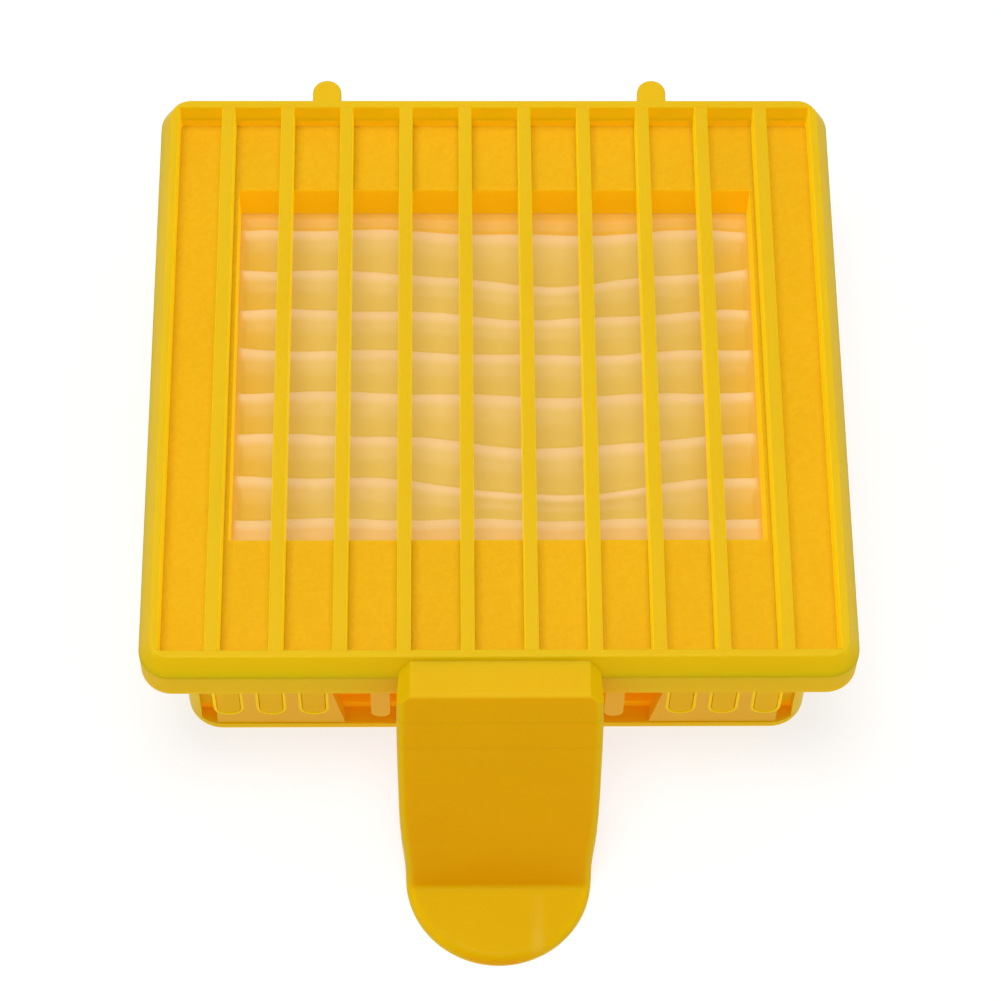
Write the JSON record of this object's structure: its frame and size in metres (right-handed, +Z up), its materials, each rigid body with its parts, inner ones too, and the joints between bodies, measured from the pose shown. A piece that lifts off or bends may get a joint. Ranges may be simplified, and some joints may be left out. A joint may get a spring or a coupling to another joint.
{
  "type": "queen cage",
  "caption": "Shallow vented box with a slotted lift-off lid, a long front thumb tongue, a rippled film under its window, a fingered front gate and a sliding floor.",
  "frame": {"origin": "middle of the cage's bottom rim, in the plane it rests on", "axes": "+X to the right seen from the tongue's end, +Y from the tongue to the back tabs, +Z up through the lid"},
  "size_m": [0.0622, 0.0808, 0.0202],
  "materials": {
    "lid_plastic": "satin",
    "plate_plastic": "fine matte texture",
    "cage_plastic": "satin",
    "milky_film": "milky, soft gloss",
    "milky_gate": "milky, soft gloss"
  },
  "bodies": {
    "cage": {"base_rail": "cage_plastic", "left_wall": "cage_plastic", "right_wall": "cage_plastic", "back_wall": "cage_plastic", "window_plate": "plate_plastic", "wavy_film": "milky_film", "finger_gate": "milky_gate", "gate_pegs": "cage_plastic"},
    "lid": {"grille_lid": "lid_plastic", "tongue_handle": "lid_plastic"},
    "floor": {"sliding_floor": "cage_plastic"}
  },
  "joints": [
    {"name": "lid_lift", "type": "slide", "parent": "cage", "child": "lid", "axis": [0, 0, 1], "range_m": [0, 0.03]},
    {"name": "floor_slide", "type": "slide", "parent": "cage", "child": "floor", "axis": [0, 1, 0], "range_m": [0, 0.046]}
  ]
}
